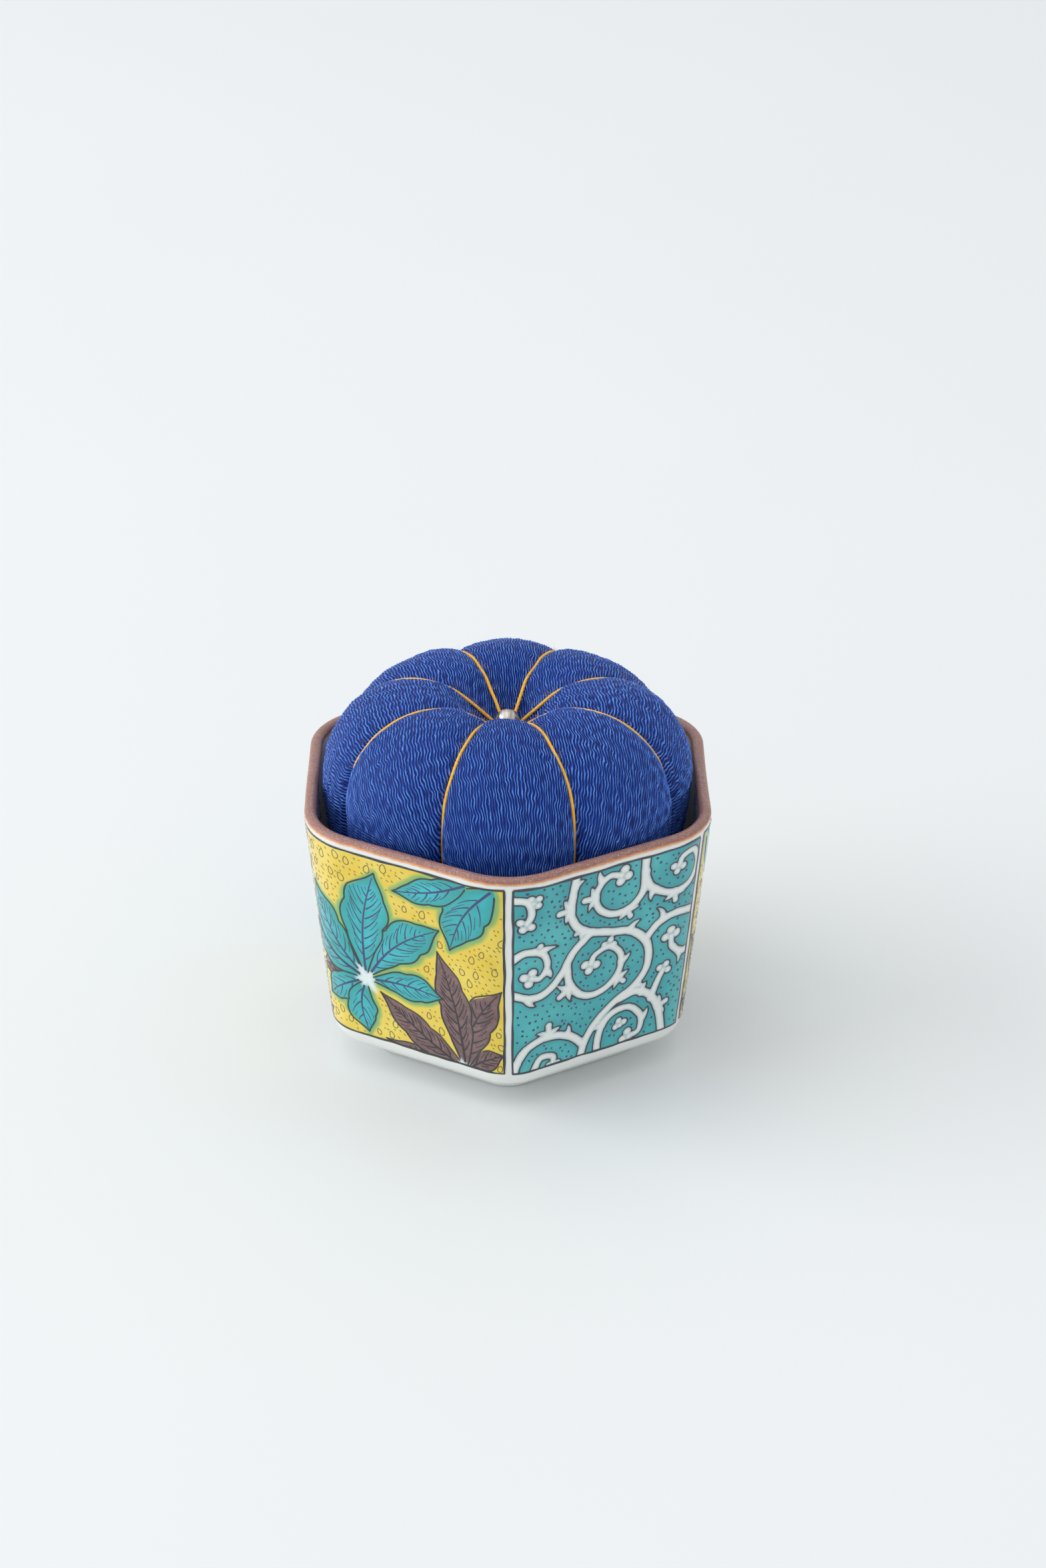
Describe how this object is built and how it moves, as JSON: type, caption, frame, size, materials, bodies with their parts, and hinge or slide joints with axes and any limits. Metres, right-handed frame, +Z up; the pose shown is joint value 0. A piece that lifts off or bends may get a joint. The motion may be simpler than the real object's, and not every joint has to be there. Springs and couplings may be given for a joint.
{
  "type": "pin cushion",
  "caption": "Round lobed crepe pin cushion with radial dividing threads and a metal crown bead, standing in a hexagonal glazed porcelain cup that it lifts out of",
  "frame": {"origin": "centre of the foot's underside, on the surface that the cup stands on", "axes": "+Z up along the cushion's axis; one corner of the hexagonal cup and one lobe of the cushion point towards -Y, the front; +X to the right"},
  "size_m": [0.06, 0.0656, 0.0558],
  "materials": {
    "porcelain": "clear gloss glaze with painted enamel panels and a brown iron rim",
    "crepe": "matt crepe with fine wavy ridges",
    "wool": "loose wool stuffing",
    "thread": "twisted cotton thread",
    "bead": "polished",
    "card": "plain stiff card",
    "felt": "pressed wool felt"
  },
  "bodies": {
    "cup": {"porcelain_cup": "porcelain"},
    "cushion": {"cushion_cover": "crepe", "wool_filling": "wool", "base_card": "card", "base_felt": "felt", "crown_bead": "bead", "bead_stitch": "thread", "centre_stitch": "thread", "anchor_knot": "thread", "gathering_stitch": "thread", "dividing_thread_1": "thread", "dividing_thread_2": "thread", "dividing_thread_3": "thread", "dividing_thread_4": "thread", "dividing_thread_5": "thread", "dividing_thread_6": "thread", "dividing_thread_7": "thread", "dividing_thread_8": "thread"}
  },
  "joints": [
    {"name": "cushion_lift", "type": "slide", "parent": "cup", "child": "cushion", "axis": [0, 0, 1], "range_m": [0, 0.045]}
  ]
}
